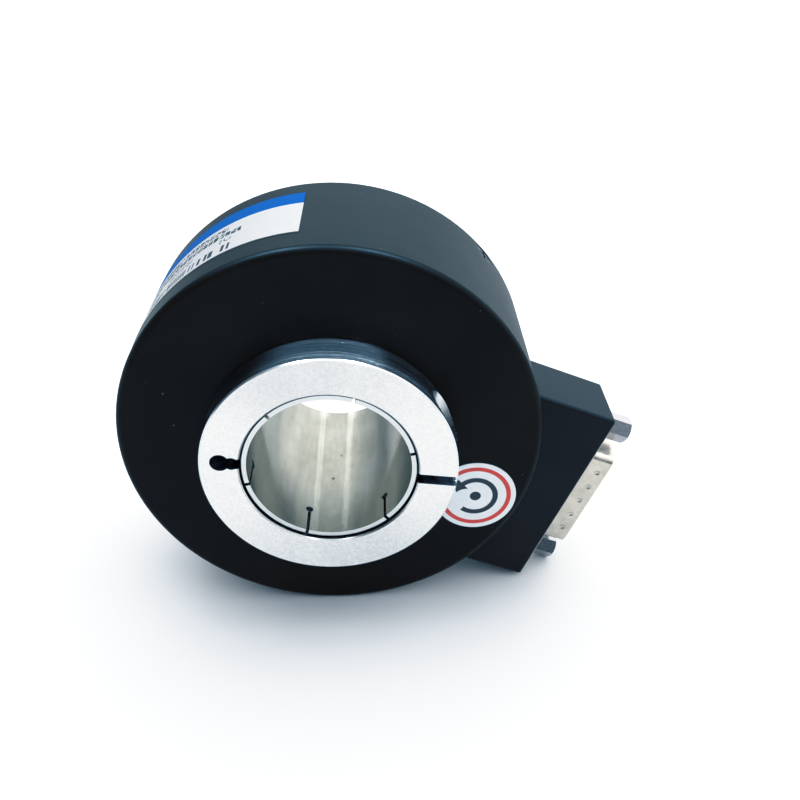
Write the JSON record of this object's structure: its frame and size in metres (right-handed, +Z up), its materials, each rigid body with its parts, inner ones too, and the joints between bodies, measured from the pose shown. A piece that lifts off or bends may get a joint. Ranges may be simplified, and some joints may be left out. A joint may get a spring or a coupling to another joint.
{
  "type": "rotary encoder",
  "caption": "Hollow-shaft rotary encoder: black cup housing, collet shaft with a split clamp collar, and a D-sub plug in a side box.",
  "frame": {"origin": "where the shaft's axis meets the housing's front face", "axes": "+Y along the shaft from the clamp collar to the rear flange, +Z up as it stands, +X towards the connector box"},
  "size_m": [0.1003, 0.0421, 0.08],
  "materials": {
    "housing_black": "satin black powder paint",
    "box_black": "satin black powder paint",
    "base_aluminium": "turned, clear anodised",
    "shaft_steel": "honed stainless",
    "collar_aluminium": "faced and turned bright",
    "screw_black": "black oxide",
    "screw_zinc": "zinc plated",
    "bearing_steel": "ground",
    "spring_steel": "phosphated",
    "cage_nylon": "moulded",
    "seal_rubber": "matt",
    "hub_aluminium": "turned",
    "disc_glass": "polished",
    "bracket_plastic": "moulded",
    "led_epoxy": "clear epoxy",
    "sensor_chip": "silicon",
    "board_green": "solder mask",
    "chip_black": "moulded epoxy",
    "can_aluminium": "sleeved can",
    "header_ivory": "moulded",
    "ribbon_grey": "PVC",
    "shell_tin": "tin plated",
    "insulator_black": "moulded",
    "pin_gold": "gold flash",
    "jack_nickel": "nickel plated",
    "label_paper": "coated",
    "sticker_paper": "coated"
  },
  "bodies": {
    "housing": {"housing_cover": "housing_black", "base_flange": "base_aluminium", "cover_screws": "screw_black", "shaft_seal": "seal_rubber", "front_bearing_outer_ring": "bearing_steel", "rear_bearing_outer_ring": "bearing_steel", "front_bearing_shields": "spring_steel", "rear_bearing_shields": "spring_steel", "outer_spacer": "hub_aluminium", "preload_washer": "spring_steel", "bore_circlip": "spring_steel", "sensor_bracket": "bracket_plastic", "led_emitter": "led_epoxy", "reticle": "disc_glass", "photodetector": "sensor_chip", "bracket_screws": "screw_zinc", "main_board": "board_green", "board_screws": "screw_zinc", "driver_chips": "chip_black", "capacitors": "can_aluminium", "board_header": "header_ivory", "ribbon_cable": "ribbon_grey", "connector_box": "box_black", "box_screws": "screw_zinc", "dsub_front_shell": "shell_tin", "dsub_rear_shell": "shell_tin", "dsub_insulator": "insulator_black", "dsub_pins": "pin_gold", "adapter_board": "board_green", "adapter_header": "header_ivory", "jackscrews": "jack_nickel", "rating_label": "label_paper", "round_sticker": "sticker_paper"},
    "shaft": {"hollow_shaft": "shaft_steel", "clamp_collar": "collar_aluminium", "clamp_screw": "screw_black", "front_bearing_inner_ring": "bearing_steel", "rear_bearing_inner_ring": "bearing_steel", "inner_spacer": "hub_aluminium", "shaft_circlip": "spring_steel", "disc_hub": "hub_aluminium", "code_disc": "disc_glass", "disc_clamp_ring": "hub_aluminium", "disc_screws": "screw_zinc"},
    "front_cage": {"front_bearing_cage": "cage_nylon", "front_bearing_balls": "bearing_steel"},
    "rear_cage": {"rear_bearing_cage": "cage_nylon", "rear_bearing_balls": "bearing_steel"}
  },
  "joints": [
    {"name": "shaft_spin", "type": "hinge", "parent": "housing", "child": "shaft", "pos_m": [0, 0, 0], "axis": [0, 1, 0], "continuous": true},
    {"name": "front_cage_spin", "type": "hinge", "parent": "housing", "child": "front_cage", "pos_m": [0, 0, 0], "axis": [0, 1, 0], "continuous": true},
    {"name": "rear_cage_spin", "type": "hinge", "parent": "housing", "child": "rear_cage", "pos_m": [0, 0, 0], "axis": [0, 1, 0], "continuous": true}
  ],
  "couplings": [
    {"joint": "front_cage_spin", "follows": "shaft_spin", "ratio": 0.4561},
    {"joint": "rear_cage_spin", "follows": "shaft_spin", "ratio": 0.4561}
  ]
}
